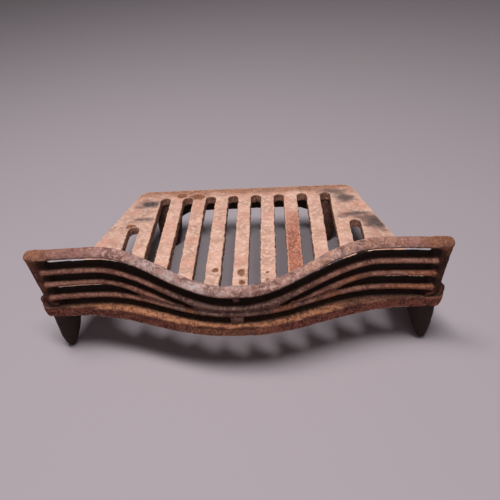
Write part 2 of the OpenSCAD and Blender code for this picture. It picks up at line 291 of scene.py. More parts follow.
def nearest_members(body):
    """The number, in members[body], of the member nearest to each point of the skin."""
    corners, triangles, owners = [], [], []
    for number, name in enumerate(members[body]):
        mesh = frame["nodes"][name].data
        first = len(corners)
        corners += [vertex.co.copy() for vertex in mesh.vertices]
        triangles += [[first + i for i in face.vertices] for face in mesh.polygons]
        owners += [number] * len(mesh.polygons)
    tree = BVHTree.FromPolygons(corners, triangles)
    return np.array([owners[tree.find_nearest(Vector(p))[2]] for p in skins[body]["points"]])


def on(body, *names):
    """True at the points that belong to the named members."""
    return np.isin(skins[body]["owner"], [members[body].index(name) for name in names])


for body, skin in skins.items():
    skin["owner"] = nearest_members(body)
    print(body, "members found on the skin:", len(set(skin["owner"])), "of", len(members[body]))

# %% [markdown]
# ## A rough, worn surface
# Logs and tools rub the outer edges of the grate, and dirt stays in its inner corners.
# Pointiness in the material could tell the two apart, but it would take every cut between
# pieces for an edge. So sharpness is measured here, on the whole skins, from the
# neighbours of each point. It is above 0 on an outer edge and below 0 in an inner corner.

# %% Measure normals and sharpness
SHARPNESS_ROUNDS = 2
# The share of points that are less sharp than the sharpness that counts as 1
SHARPEST = 0.98
for body, skin in skins.items():
    skin["normals"] = normals_of(skin)
    sharp = -np.einsum("ij,ij->i", gap_to_neighbours(skin), skin["normals"]) / VOXEL[body]
    for _ in range(SHARPNESS_ROUNDS):
        sharp = neighbour_mean(skin, sharp)
    skin["sharp"] = sharp / np.quantile(np.abs(sharp), SHARPEST)
    print(body, "share of sharp points:", round(float(np.mean(skin["sharp"] > 0.5)), 3))

# %% [markdown]
# The skins are pushed along their normals. A Displace modifier could do this with a
# texture, but a push that is worked out for each point can differ from place to place.
# Broad lumps make the bars wander, and fine ones roughen the faces. The walls of the
# slots are the roughest, and the middle of the ledge's face is crusted. The plate's top
# is scraped flat by logs, so there lumps only sink in, and by less.

# %% Waves and grains
# Layers of lumps: height and size in mm, and a seed
WAVES = {"bed": [(0.28, 17, 1), (0.22, 6, 2), (0.16, 2.6, 3)],
         "fret": [(0.22, 21, 11), (0.14, 5, 12), (0.12, 2, 13)]}
CRUST = [(0.32, 2.4, 4)]
ROUGH_WALLS = [(0.7, 3.2, 5)]
SCRAPED = 0.4
CRUST_X, CRUST_REACH = -10 * MM, (30 * MM, 55 * MM)
# How far a normal turns sideways on a slot's wall, forwards on the ledge, up on the plate
SIDEWAYS, FORWARDS, UPWARDS = 0.4, 0.5, 0.6


def rough(skin, layers):
    """The sum of some layers of lumps at the skin's points."""
    return sum(height * MM * lumps(skin["points"], size * MM, seed) for height, size, seed in layers)


for body, skin in skins.items():
    skin["push"] = rough(skin, WAVES[body])
bed, fret = skins["bed"], skins["fret"]
bars = [name for name in members["bed"] if name.startswith("grate_bar")]
bar_walls = on("bed", *bars) & (np.abs(bed["normals"][:, 0]) > SIDEWAYS)
ledge_face = on("bed", "front_ledge") & (bed["normals"][:, 1] < -FORWARDS)
crusty = ledge_face * near(bed["points"][:, 0], CRUST_X, *CRUST_REACH)
bed["push"] += crusty * rough(bed, CRUST) + bar_walls * rough(bed, ROUGH_WALLS)
facing_up = bed["normals"][:, 2] > UPWARDS
bed["push"][facing_up] = -np.abs(bed["push"][facing_up]) * SCRAPED
for body, skin in skins.items():
    print(body, "roughened by", round(float(np.abs(skin["push"]).mean()) / MM, 2), "mm on average")

# %% [markdown]
# Rust eats small pits, and edges of brittle iron chip. Both are real dents here and not
# only bump in the material, because they show in the outline of the bars. They are
# pressed in at seeded points, with more small ones than large ones.

# %% Pits and chips
CHIPS_FROM = 0.4
CORNER_OUT, CORNER_UP_AND_OUT = 0.7 * MM, 4.0 * MM


def dents(skin, allowed, count, depth, smallest, largest, seed):
    """Depth, at every point, of rounded dents at some of the points that are allowed."""
    places = np.random.default_rng(SEED + seed).choice(np.flatnonzero(allowed), count)
    spread = np.random.default_rng(SEED + seed + 1).random(count) ** 2
    tree = kdtree.KDTree(len(skin["points"]))
    for i, point in enumerate(skin["points"]):
        tree.insert(point, i)
    tree.balance()
    dented = np.zeros(len(skin["points"]))
    for place, radius in zip(places, smallest + (largest - smallest) * spread):
        for _, i, distance in tree.find_range(skin["points"][place], radius):
            dented[i] = max(dented[i], depth * (1 - (distance / radius) ** 2))
    return dented


chippable = (bed["sharp"] > CHIPS_FROM) & on("bed", "back_rail", "side_left", "side_right", *bars)
rail_face = on("fret", "top_rail") & (fret["normals"][:, 2] > 0)
bed["push"] -= dents(bed, on("bed", *members["bed"]), count=420, depth=0.45 * MM,
                     smallest=1.6 * MM, largest=3.2 * MM, seed=6)
bed["push"] -= dents(bed, chippable, count=260, depth=0.55 * MM,
                     smallest=1.6 * MM, largest=3.6 * MM, seed=8)
fret["push"] -= dents(fret, on("fret", *members["fret"]), count=260, depth=0.35 * MM,
                      smallest=1.2 * MM, largest=2.4 * MM, seed=14)
fret["push"] -= dents(fret, rail_face, count=160, depth=0.35 * MM,
                      smallest=1.2 * MM, largest=2.2 * MM, seed=16)
# Smoothing has drawn the fret's corners in, so they are pushed out to their full width
outward = np.maximum(np.sign(fret["points"][:, 0]) * fret["normals"][:, 0], 0)
up_and_out = outward * np.maximum(fret["normals"][:, 2], 0)
fret["push"] += at_corner(fret["points"]) * (CORNER_OUT * outward + CORNER_UP_AND_OUT * up_and_out)
for body, skin in skins.items():
    print(body, "pushed from", round(float(skin["push"].min()) / MM, 2), "to",
          round(float(skin["push"].max()) / MM, 2), "mm")

# %% [markdown]
# A casting must stay inside its CAD box and rest on its feet. The push can leave the feet
# in the air or below the floor. Moving the whole casting would take it out of its box, so
# only its lowest stretch moves up or down, until the feet touch what they stand on.

# %% Push the skins and settle them
SETTLE_ZONE = 8 * MM
for body, skin in skins.items():
    corners = [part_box(name) for name in members[body]]
    low = np.min([c[0] for c in corners], axis=0)
    high = np.max([c[1] for c in corners], axis=0)
    points = skin["points"] + skin["normals"] * skin["push"][:, None]
    drop = points[:, 2].min() - low[2]
    points[:, 2] -= drop * (1 - ramp(points[:, 2], low[2], low[2] + SETTLE_ZONE))
    skin["points"] = np.clip(points, low, high)
    skin["normals"] = normals_of(skin)
    print(body, "feet moved up by", round(-float(drop) / MM, 2), "mm")

# %% [markdown]
# ## Where the rust, soot, stains and painted light and shade lie
# Fire bleaches the plate's top and soots its underside, and hands and logs rub the rail.
# An image could show this, but it would have to be painted and unwrapped. Here each
# finish is a mask from 0 to 1, worked out from the shape and kept with the points, so it
# can't slip on the surface.
#
# Many masks depend on how far a point lies behind the fret's curved front, and some
# stains lie at places of their own on the plate.

# %% Distances and spots in plan
RAGGED_COARSE, RAGGED_FINE = 4 * MM, 1.8 * MM
FINE_SHARE = 0.6
front_edge = {}
for vertex in frame["nodes"]["lower_bar"].data.vertices:
    key = round(vertex.co.x, 5)
    front_edge[key] = min(vertex.co.y, front_edge.get(key, 0))


def behind_front(points):
    """How far points lie behind the front of the fret, seen in plan."""
    return points[:, 1] - np.interp(points[:, 0], *np.transpose(sorted(front_edge.items())))


def spots(points, places, edge, stretch, ragged, seed):
    """A mask of spots with a soft, ragged edge, whose rags are stretched along x."""
    drawn = points * (1 / stretch, 1, 1)
    ragged = ragged * (lumps(drawn, RAGGED_COARSE, seed)
                       + FINE_SHARE * lumps(drawn, RAGGED_FINE, seed + 1))
    mask = np.zeros(len(points))
    for x, y, half_x, half_y, strength in places:
        across = (points[:, 0] / MM - x) / half_x
        along = (points[:, 1] / MM - y) / half_y
        mask = np.maximum(mask, strength * (1 - ramp(np.hypot(across, along) + ragged, *edge)))
    return mask


print("the fret's front bows over", round(float(np.ptp(list(front_edge.values()))) / MM, 1), "mm")

# %% Stains and smudges on the plate
# Each spot is x, y, half-width in x and half-width in y, in mm, and a strength
BROWN_STAINS = [
    (-126, 41.5, 8, 5, 1), (-76, 102, 6.5, 6, 1), (-58, 99, 10, 7.5, 1),
    (-25, -38.3, 4.4, 4.2, 1), (1, -43.3, 4.2, 6, 1), (2.6, -57.4, 4.2, 5, 0.9),
    (26.2, -43.7, 2.4, 2.6, 1), (26, -54, 3, 4, 0.7), (-53, 37, 2.6, 2.2, 0.8)]
BROWN_CLOUDS = [(96, 108, 18, 7, 0.9), (50, 107, 16, 6, 0.7), (-94, 106, 14, 6, 0.5)]
SOOT_SMUDGES = [
    (-112, 87, 15, 10, 1.2), (-121, 82, 13, 7, 0.7), (-98, 94, 8, 4, 0.6), (-113, 55, 13, 3.4, 0.8),
    (-124, 60, 7, 4, 0.35), (116, 86, 14, 9, 0.85), (104, 101, 20, 5, 0.75), (110, 93, 13, 5, 0.6),
    (124, 52, 18, 5, 0.85), (111, 47, 11, 3, 0.6), (144, 33, 17, 14, 1), (135, 44, 14, 9, 0.8),
    (-28, 101, 9, 1.8, 0.6), (120, 60, 6, 3, 0.3), (142, 16, 20, 22, 0.3),
    (-130, 50, 34, 60, 0.27), (72, 105, 12, 1.6, 0.5)]
stains = spots(bed["points"], BROWN_STAINS, edge=(0.6, 1.2), stretch=1, ragged=0.3, seed=23)
clouds = spots(bed["points"], BROWN_CLOUDS, edge=(0.2, 1.4), stretch=2, ragged=0.4, seed=31)
smudges = spots(bed["points"], SOOT_SMUDGES, edge=(0.2, 1.6), stretch=2.2, ragged=0.4, seed=21)
print("points in stains, clouds and smudges:", [int((m > 0.5).sum()) for m in (stains, clouds, smudges)])

# %% [markdown]
# ### Masks on the bed
# The plate is bleached pink behind the fret, browner along its back, and one bar is red.
# The slots' end walls that face forward are painted lighter, as light falling on them. The
# ledge in front is darker, with ochre rust on its top and crusted, dark red rust on its
# face; the ends of its top are dark from rust and from painted shade of the fret. Soot
# covers the underside and the legs, and painted shade covers what lies under the fret and
# the lugs.

# %% Masks on the plate and under it
TURNED_UP = (0.35, 0.8)
# Behind the fret's front: where the clean plate begins, and the painted shade under the fret
PLATE_FROM = (9 * MM, 14 * MM)
SHADE_FROM, SHADE_TO = (-3 * MM, 1 * MM), (10 * MM, 14 * MM)
# Measured from the plate's underside, from its top and from its back edge
UNDERSIDE, PLATE_TOP, BACK_STRIP = (-2 * MM, 3 * MM), (-4 * MM, -1 * MM), (-21 * MM, -4 * MM)
RED_REACH = (5 * MM, 75 * MM)
WALLS_FROM_Y = (-60 * MM, -50 * MM)
x, y, z = bed["points"].T
upward = ramp(bed["normals"][:, 2], *TURNED_UP)
setback = behind_front(bed["points"])
behind_fret = ramp(setback, *PLATE_FROM)
# Painted shade on the ledge's top under the fret, where the fret's shadow falls
shade_under_fret = upward * ramp(setback, *SHADE_FROM) * (1 - ramp(setback, *SHADE_TO))
patchy = lumps(bed["points"], 14 * MM, 28)
fine_patches = patchy + 0.6 * lumps(bed["points"], 5 * MM, 32)
lugs = on("bed", "lug_left", "lug_right")
above = z - DECK_UNDER - 3 * MM * lumps(bed["points"], 9 * MM, 22)
under = 0.9 * ramp(-above, *UNDERSIDE)
under = np.where(on("bed", "rear_leg_left", "rear_leg_right"), 0.35 * under, under)
back_strip = ramp(y - BACK_Y + 5 * MM * lumps(bed["points"], 12 * MM, 24), *BACK_STRIP)
bed["masks"] = {
    "bleached": upward * behind_fret * ramp(z - DECK_TOP, *PLATE_TOP),
    "smudged": upward * smudges,
    # Soot under the plate and on the legs, and painted shade under the fret and on the lugs
    "sooty": np.max([under, 0.75 * shade_under_fret, 0.5 * lugs], axis=0),
    "stained": upward * stains,
    "reddened": on("bed", RED_BAR) * ramp(RED_BAR_BACK_Y - y + 6 * MM * patchy, *RED_REACH),
    # Painted light: the slots' end walls that face forward are lighter, as if lit
    "walled": ramp(-bed["normals"][:, 1], 0.3, 0.8) * ramp(y, *WALLS_FROM_Y)
    * on("bed", "back_rail", "side_left", "side_right"),
    "browned": upward * np.maximum(clouds, back_strip),
    "pinked": upward * behind_fret * ramp(fine_patches, -0.1, 0.6),
}
print("masks on the plate:", sorted(bed["masks"]))

# %% Masks on the ledge
OCHRE_X, OCHRE_REACH = -25 * MM, (75 * MM, 150 * MM)
ARRIS_DEPTH = 4 * MM
FLAKES, SHARP_ARRIS = (-0.7, 0.0), (0.25, 0.55)
ledge_top = upward * on("bed", "front_ledge") * (1 - behind_fret)
ochre_x = np.abs(x - OCHRE_X) + 12 * MM * patchy
# The ledge's front arris has flaked, which leaves a dark, broken line instead of a pale edge
arris = on("bed", "front_ledge") & (setback < 0) & (z > DECK_UNDER + ARRIS_DEPTH)
broken = ramp(lumps(bed["points"] * (0.4, 1, 1), 3 * MM, 25), *FLAKES)
bed["masks"] |= {
    "ledge": ledge_top,
    "ochre": ledge_top * (1 - ramp(ochre_x, *OCHRE_REACH)),
    "mauve": ledge_face | lugs,
    "crusted": crusty,
    "flaked": arris * broken * ramp(bed["sharp"], *SHARP_ARRIS),
}
bed["sharp"] = np.where(arris | lugs, np.minimum(bed["sharp"], 0), bed["sharp"])
print("all masks on the bed:", sorted(bed["masks"]))

# %% [markdown]
# ### Masks on the fret
# The rail is rubbed grey near the middle, tan to the right and rusty at its ends. Of the
# bars, only the noses show: they are brown to orange, with a painted highlight on their
# upper sides that is greyer and dimmer in the middle. Painted shade darkens the gaps
# between them, the rail's underside there and the posts beside the gaps, and the posts
# below the rail, the right post and the left foot most.

# %% Masks on the rail
GREY_X, GREY_REACH = -42 * MM, (10 * MM, 65 * MM)
TAN_X, TAN_REACH = 105 * MM, (30 * MM, 70 * MM)
# Measured from the fret's front, from the rail's top and from the posts' inner sides
GAPS_FROM, CROWN_FROM, ENDS_FROM = (1.2 * MM, 4 * MM), (-7 * MM, -3 * MM), (-30 * MM, 2 * MM)
RUSTY_FROM, REDDISH_FROM_X = (-18 * MM, -5 * MM), (90 * MM, 155 * MM)
x, y, z = fret["points"].T
facing = fret["normals"][:, 2]
below_top = RAIL_TOP - z
setback = behind_front(fret["points"])
in_gaps = ramp(setback, *GAPS_FROM) * ~on("fret", "middle_foot", "middle_stay")
crown = np.maximum(on("fret", "top_rail"), ramp(-below_top, *CROWN_FROM))
ends = ramp(np.abs(x) - POST_INNER_X, *ENDS_FROM)
worn_rail = crown * ramp(facing, 0, 0.6)
patchy = lumps(fret["points"], 8 * MM, 27)
streaky = lumps(fret["points"] * (0.3, 1, 1), 2.6 * MM, 33)
greyed = worn_rail * near(x, GREY_X, *GREY_REACH)
fret["masks"] = {
    "rubbed": crown * ramp(facing, -0.3, 0.4),
    "greyed": greyed * ramp(patchy, -0.9, 0.5),
    "whitened": greyed * ramp(streaky, 0.1, 0.5),
    "tanned": worn_rail * near(x, TAN_X, *TAN_REACH) * ramp(patchy, -0.3, 0.4),
    "dusky": worn_rail * ramp(-lumps(fret["points"], 6 * MM, 29), 0.2, 0.7),
    "chipped": crown * near(facing, -0.1, 0.2, 0.6) * (1 - in_gaps)
    * ramp(lumps(fret["points"], 5 * MM, 34), 0, 0.4),
    "reddish": crown * ramp(np.abs(x), *REDDISH_FROM_X),
    "rusty": ends * ramp(-below_top, *RUSTY_FROM) * np.where(x > 0, 1, 0.7),
}
print("masks on the rail:", sorted(fret["masks"]))

# %% Masks on the bars and posts
# Low and high level, in mm, of each gap of the fret where it ends at a post
GAPS_AT_POSTS = [(69, 80), (85, 94), (99, 111)]
GAP_EDGE = 3 * MM
# How wide the painted shade is on a post beside a gap, and how far it reaches onto the bars
BESIDE_GAP, ONTO_BARS = (1 * MM, 7 * MM), 8 * MM
LIT = (-0.7, 0.3)
DULL_REACH, DIM_REACH = (35 * MM, 75 * MM), (40 * MM, 85 * MM)
LOW_FROM = 12 * MM
posts = on("fret", "post_left", "post_right")
noses = (1 - in_gaps) * (1 - crown) * ~posts
lit_noses = noses * ramp(facing, *LIT)
between_bars = np.max([ramp(z, low * MM, low * MM + GAP_EDGE)
                       * (1 - ramp(z, high * MM - GAP_EDGE, high * MM))
                       for low, high in GAPS_AT_POSTS], axis=0)
beside_gaps = between_bars * (1 - ramp(np.abs(x) - POST_INNER_X, *BESIDE_GAP))
beside_gaps = beside_gaps * (np.abs(x) > POST_INNER_X - ONTO_BARS) * np.where(x > 0, 0.8, 0.6)
# Painted shade in the gaps; on the rail, only where it faces down
under_rail = np.where(crown > 0.5, 1 - ramp(facing, -0.5, 0.1), 1)
fret["masks"] |= {
    # A painted highlight on the noses' upper sides, weaker in the middle
    "nosed": lit_noses * (1 - 0.6 * near(x, 0, *DULL_REACH)),
    "oranged": noses * ramp(lumps(fret["points"], 20 * MM, 30) + x / (200 * MM), 0, 0.6)
    * on("fret", "lower_bar", "middle_bar_left", "middle_bar_right"),
    # The painted highlight on the noses, greyer and dimmer in the middle
    "dimmed": lit_noses * near(x, 0, *DIM_REACH),
    "shaded": posts * ramp(below_top, 3 * MM, 15 * MM)
    * np.where((x > 0) | (z < DECK_TOP + 7 * MM), 1, 0.4),
    # Painted shade in the gaps and on the posts beside them
    "sooty": np.maximum(in_gaps * under_rail, beside_gaps),
}
low_posts = posts & (below_top > LOW_FROM)
fret["sharp"] = fret["sharp"] * (1 - 0.45 * noses) * np.where(low_posts, 0.3, 1)
print("all masks on the fret:", sorted(fret["masks"]))

# %% Soften the masks
MASK_ROUNDS = 3
for body, skin in skins.items():
    skin["masks"]["sharp"] = skin["sharp"]
    for _ in range(MASK_ROUNDS):
        for name in skin["masks"]:
            skin["masks"][name] = neighbour_mean(skin, skin["masks"][name] * 1.0)
    print(body, {name: round(float(mask.mean()), 3) for name, mask in skin["masks"].items()})

# %% [markdown]
# ## One piece for each member
# Each skin is cut back into its members, so that every CAD node has a piece of its own.
# The members could be skinned one by one, but then a seam would show wherever two meet.
# The cuts are capped inside the iron, and every piece keeps the whole skin's normals, so
# the castings look like one pour.

# %% Cut the skins into pieces


def piece_of(body, name):
    """One closed piece of a casting, which stands for the CAD node of that name."""
    skin = skins[body]
    number = members[body].index(name)
    owner = skin["owner"]
    # A face on a cut goes to the member that is in the middle when its corners are sorted
    faces = [f for f in skin["faces"] if sorted(owner[list(f)])[len(f) // 2] == number]
    used = np.unique([i for face in faces for i in face])
    place = {int(i): k for k, i in enumerate(used)}
    mesh = bpy.data.meshes.new(name + "_skin")
    mesh.from_pydata(skin["points"][used].tolist(), [], [[place[i] for i in f] for f in faces])
    for mask, values in skin["masks"].items():
        mesh.attributes.new(mask, "FLOAT", "POINT").data.foreach_set("value", values[used])
    capped = bmesh.new()
    capped.from_mesh(mesh)
    rim = [edge for edge in capped.edges if edge.is_boundary]
    caps = bmesh.ops.holes_fill(capped, edges=rim, sides=0)["faces"]
    bmesh.ops.triangulate(capped, faces=caps)
    capped.to_mesh(mesh)
    capped.free()
    mesh.shade_smooth()
    mesh.normals_split_custom_set_from_vertices(skin["normals"][used].tolist())
    piece = bpy.data.objects.new(name + "_cast", mesh)
    bpy.context.scene.collection.objects.link(piece)
    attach(piece, body)
    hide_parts(name)
    return piece


slot_of = {part["node"]: part["material_slot"] for part in frame["record"]["subparts"]}
pieces = {name: piece_of(body, name) for body in members for name in members[body]}
print(len(pieces), "pieces,", sum(len(p.data.polygons) for p in pieces.values()), "faces")

# %% [markdown]
# ## Paint
# Colours are given as they look on a screen and turned into the linear values that
# Cycles works with. Materials could be wired one node at a time, but small helpers keep
# the recipes readable: `add` makes a node and feeds its named inputs, and `mix` blends
# two colours by a mask.

# %% Colours and nodes


def paint(code):
    """Linear colour of a screen colour such as #b48a70."""
    shares = [int(code[i:i + 2], 16) / 255 for i in (1, 3, 5)]
    return [s / 12.92 if s < 0.04045 else ((s + 0.055) / 1.055) ** 2.4 for s in shares] + [1]


def feed(tree, socket, value):
    """Links a value's socket to a socket, or sets the socket to a plain value."""
    if isinstance(value, bpy.types.NodeSocket):
        tree.links.new(value, socket)
    else:
        socket.default_value = value


def add(tree, kind, inputs=(), **settings):
    """A new node. Each input is a plain value, or a socket to link from."""
    node = tree.nodes.new("ShaderNode" + kind)
    for name, value in settings.items():
        setattr(node, name, value)
    for name, value in dict(inputs).items():
        feed(tree, node.inputs[name], value)
    return node


def mix(tree, mask, first, second):
    """Colour that goes from first to second as the mask goes from 0 to 1."""
    blend = add(tree, "Mix", data_type="RGBA")
    for index, value in ((0, mask), (6, first), (7, second)):
        feed(tree, blend.inputs[index], value)
    return blend.outputs[2]


print("rust brown in linear values:", [round(v, 3) for v in paint("#9b6d5a")])

# %% Values and noise


def math_node(tree, operation, first, second):
    """A sum, product or other operation on two values."""
    node = add(tree, "Math", operation=operation)
    for index, value in enumerate((first, second)):
        feed(tree, node.inputs[index], value)
    return node.outputs[0]


def span(tree, value, low, high):
    """Turns a value smoothly into 0 at low and 1 at high."""
    return add(tree, "MapRange", {"Value": value, "From Min": low, "From Max": high},
               interpolation_type="SMOOTHSTEP").outputs["Result"]


def noise(tree, position, size, detail=4, roughness=0.55):
    """Fractal noise whose largest features are about as big as size, in metres."""
    return add(tree, "TexNoise", {"Vector": position, "Scale": 1 / size, "Detail": detail,
                                  "Roughness": roughness}).outputs["Fac"]


def group(name, inputs, outputs):
    """A node group with the named input and output sockets, and its two end nodes."""
    tree = bpy.data.node_groups.new(name, "ShaderNodeTree")
    for way, sockets in (("INPUT", inputs), ("OUTPUT", outputs)):
        for socket, kind in sockets.items():
            tree.interface.new_socket(name=socket, in_out=way, socket_type="NodeSocket" + kind)
    return tree, tree.nodes.new("NodeGroupInput"), tree.nodes.new("NodeGroupOutput")


def use(tree, shared, **inputs):
    """A shared group in a material. Underscores in the keywords stand for spaces."""
    node = add(tree, "Group", node_tree=shared)
    for name, value in inputs.items():
        feed(tree, node.inputs[name.replace("_", " ")], value)
    return node


print("groups before the first is made:", len(bpy.data.node_groups))

# %% [markdown]
# ### Mottled rust
# Rust is never one colour: old, dark rust shows between patches of younger, paler rust,
# with pale flecks and dark specks on top. A colour ramp on one noise would draw bands, so
# each of the colours lies over the last with a mask of its own. Every material uses this
# group, with its own palette and size of patch.

# %% Group: mottled rust
PATCHES, BLOTS = (0.40, 0.58), (0.47, 0.66)
FLECKS, SPECKS = (0.65, 0.77), (0.40, 0.30)
BLOT_SHARE, SPECK_SHARE = 0.85, 0.7
PATCH_TO_BLOT = 3.7
mottled_rust, start, end = group(
    "mottled_rust",
    {"Position": "Vector", "Patch Size": "Float", "Dark": "Color", "Middle": "Color",
     "Light": "Color", "Fleck": "Color"},
    {"Color": "Color", "Grain": "Float"})
where, patch = start.outputs["Position"], start.outputs["Patch Size"]
frequency = math_node(mottled_rust, "DIVIDE", 1, patch)
patches = add(mottled_rust, "TexNoise",
              {"Vector": where, "Scale": frequency, "Detail": 5.0}).outputs["Fac"]
finer = math_node(mottled_rust, "MULTIPLY", frequency, PATCH_TO_BLOT)
blots = add(mottled_rust, "TexNoise",
            {"Vector": where, "Scale": finer, "Detail": 4.0}).outputs["Fac"]
grain = noise(mottled_rust, where, 2.0 * MM, detail=3, roughness=0.7)
colour = mix(mottled_rust, span(mottled_rust, patches, *PATCHES),
             start.outputs["Dark"], start.outputs["Middle"])
blotted = math_node(mottled_rust, "MULTIPLY", span(mottled_rust, blots, *BLOTS), BLOT_SHARE)
colour = mix(mottled_rust, blotted, colour, start.outputs["Light"])
colour = mix(mottled_rust, span(mottled_rust, grain, *FLECKS), colour, start.outputs["Fleck"])
specks = math_node(mottled_rust, "MULTIPLY", span(mottled_rust, grain, *SPECKS), SPECK_SHARE)
colour = mix(mottled_rust, specks, colour, start.outputs["Dark"])
mottled_rust.links.new(colour, end.inputs["Color"])
mottled_rust.links.new(grain, end.inputs["Grain"])
print(mottled_rust.name, "has", len(mottled_rust.nodes), "nodes")

# %% [markdown]
# ### Pitting
# Between the large dents of the mesh, the iron has a skin of sand grains and small round
# pits. As mesh they would need millions of faces, so they are bump. The pits are the
# hollows of a Voronoi texture, where a broad noise allows them. The group gives a height
# for the bump, and a mask that darkens the pits.

# %% Group: pitting
PIT_SHAPE, PIT_AREAS = (0.12, 0.42), (0.85, 1.05)
GRAIN_HEIGHT, WAVE_HEIGHT, PIT_DEPTH = 0.35, 0.8, 0.6
pitting, start, end = group(
    "pitting",
    {"Position": "Vector", "Pit Size": "Float", "Coverage": "Float"},
    {"Height": "Float", "Pits": "Float"})
where = start.outputs["Position"]
frequency = math_node(pitting, "DIVIDE", 1, start.outputs["Pit Size"])
cells = add(pitting, "TexVoronoi", {"Vector": where, "Scale": frequency, "Randomness": 1.0})
field = noise(pitting, where, 9 * MM, detail=3)
allowed = span(pitting, math_node(pitting, "ADD", field, start.outputs["Coverage"]), *PIT_AREAS)
hollow = math_node(pitting, "SUBTRACT", 1, span(pitting, cells.outputs["Distance"], *PIT_SHAPE))
pits = math_node(pitting, "MULTIPLY", hollow, allowed)
skin_grain = noise(pitting, where, 0.9 * MM, detail=4, roughness=0.65)
skin_waves = noise(pitting, where, 3.5 * MM, detail=3, roughness=0.5)
height = math_node(pitting, "ADD", math_node(pitting, "MULTIPLY", skin_grain, GRAIN_HEIGHT),
                   math_node(pitting, "MULTIPLY", skin_waves, WAVE_HEIGHT))
height = math_node(pitting, "SUBTRACT", height, math_node(pitting, "MULTIPLY", pits, PIT_DEPTH))
pitting.links.new(height, end.inputs["Height"])
pitting.links.new(pits, end.inputs["Pits"])
print(pitting.name, "has", len(pitting.nodes), "nodes")

# %% [markdown]
# ### Soot and painted shade
# Soot, and the black of painted shade, covers whatever colour the iron has where its mask
# is high. A plain blend would end in a soft, airbrushed edge, so noise breaks the edge up,
# as much as each material asks.

# %% Group: soot and painted shade
COVER_EDGE, COVER_SHARE = (0.1, 0.9), 0.93
soot_and_shade_group, start, end = group(
    "soot_and_shade_group",
    {"Position": "Vector", "Color": "Color", "Soot": "Color", "Amount": "Float",
     "Raggedness": "Float"},
    {"Color": "Color"})
cloud = noise(soot_and_shade_group, start.outputs["Position"], 5 * MM, detail=5, roughness=0.6)
ragged = math_node(soot_and_shade_group, "MULTIPLY", math_node(soot_and_shade_group, "SUBTRACT", cloud, 0.5),
                   start.outputs["Raggedness"])
ragged = math_node(soot_and_shade_group, "ADD", start.outputs["Amount"], ragged)
covered = math_node(soot_and_shade_group, "MULTIPLY", span(soot_and_shade_group, ragged, *COVER_EDGE), COVER_SHARE)
soot_and_shade_group.links.new(mix(soot_and_shade_group, covered, start.outputs["Color"], start.outputs["Soot"]), end.inputs["Color"])
print(soot_and_shade_group.name, "has", len(soot_and_shade_group.nodes), "nodes")

# %% [markdown]
# ### Edge wear
# Outer edges are rubbed paler, and inner corners hold dark dirt. The sharpness comes
# from the skin, measured before it was cut into pieces, and noise makes the wear patchy.

# %% Group: edge wear
WORN_EDGES, DIRTY_CORNERS = (0.35, 1.0), (-0.25, -1.0)
WORN_SHARE, DIRT_SHARE = 0.7, 0.8
edge_wear, start, end = group(
    "edge_wear",
    {"Position": "Vector", "Color": "Color", "Worn": "Color", "Dirt": "Color", "Sharpness": "Float"},
    {"Color": "Color"})
patches = noise(edge_wear, start.outputs["Position"], 3 * MM, detail=4, roughness=0.6)
edge_value = math_node(edge_wear, "ADD", start.outputs["Sharpness"],
                       math_node(edge_wear, "SUBTRACT", patches, 0.5))
worn = math_node(edge_wear, "MULTIPLY", span(edge_wear, edge_value, *WORN_EDGES), WORN_SHARE)
dirty = math_node(edge_wear, "MULTIPLY", span(edge_wear, edge_value, *DIRTY_CORNERS), DIRT_SHARE)
colour = mix(edge_wear, worn, start.outputs["Color"], start.outputs["Worn"])
edge_wear.links.new(mix(edge_wear, dirty, colour, start.outputs["Dirt"]), end.inputs["Color"])
print(edge_wear.name, "has", len(edge_wear.nodes), "nodes")

# %% [markdown]
# ## Rusted iron
# The real grate is bare iron, coloured only by heat, rust and soot, and some layers here
# also paint light and shade into its colour. One material could hold it all, but the bed,
# its legs, the fret and the rail are rusted so differently that each gets a recipe of its
# own. A recipe starts from mottled rust. Its layers follow, each a mask with its palette,
# and edge wear, pits, and soot with painted shade go over them all.

# %% A recipe for rusted iron
# The black of soot, and of painted shade
SOOT_AND_SHADE_BLACK = paint("#271b17")
DIRT = paint("#20120d")
PIT_SIZE = 2.2 * MM
PIT_DIRT = 0.5
# How far noise moves the edge of a layer's mask
EDGE_NOISE = 0.3
SMOOTHEST, GRAIN_ROUGHNESS, GRAINS = 0.72, 0.18, (0.3, 0.7)
SHEEN = 0.2


def mask_of(tree, name):
    """A mask kept with the points of the skin."""
    return add(tree, "Attribute", attribute_name=name).outputs["Fac"]


def mottled(tree, where, rust):
    """The shared rust with one palette: patch size, dark, middle, light, fleck."""
    size, dark, middle, light, fleck = rust
    return use(tree, mottled_rust, Position=where, Patch_Size=size, Dark=paint(dark),
               Middle=paint(middle), Light=paint(light), Fleck=paint(fleck))


def layered(tree, where, colour, mask, share, softness, rust):
    """The colour with one layer of rust over it, where the layer's mask is high."""
    patch_size = rust[0]
    over = mottled(tree, where, rust)
    shift = math_node(tree, "MULTIPLY", noise(tree, where, patch_size, roughness=0.6), EDGE_NOISE)
    shift = math_node(tree, "SUBTRACT", shift, EDGE_NOISE / 2)
    shifted = math_node(tree, "ADD", mask_of(tree, mask), shift)
    amount = math_node(tree, "MULTIPLY", span(tree, shifted, 0.5 - softness, 0.5 + softness), share)
    return mix(tree, amount, colour, over.outputs["Color"])


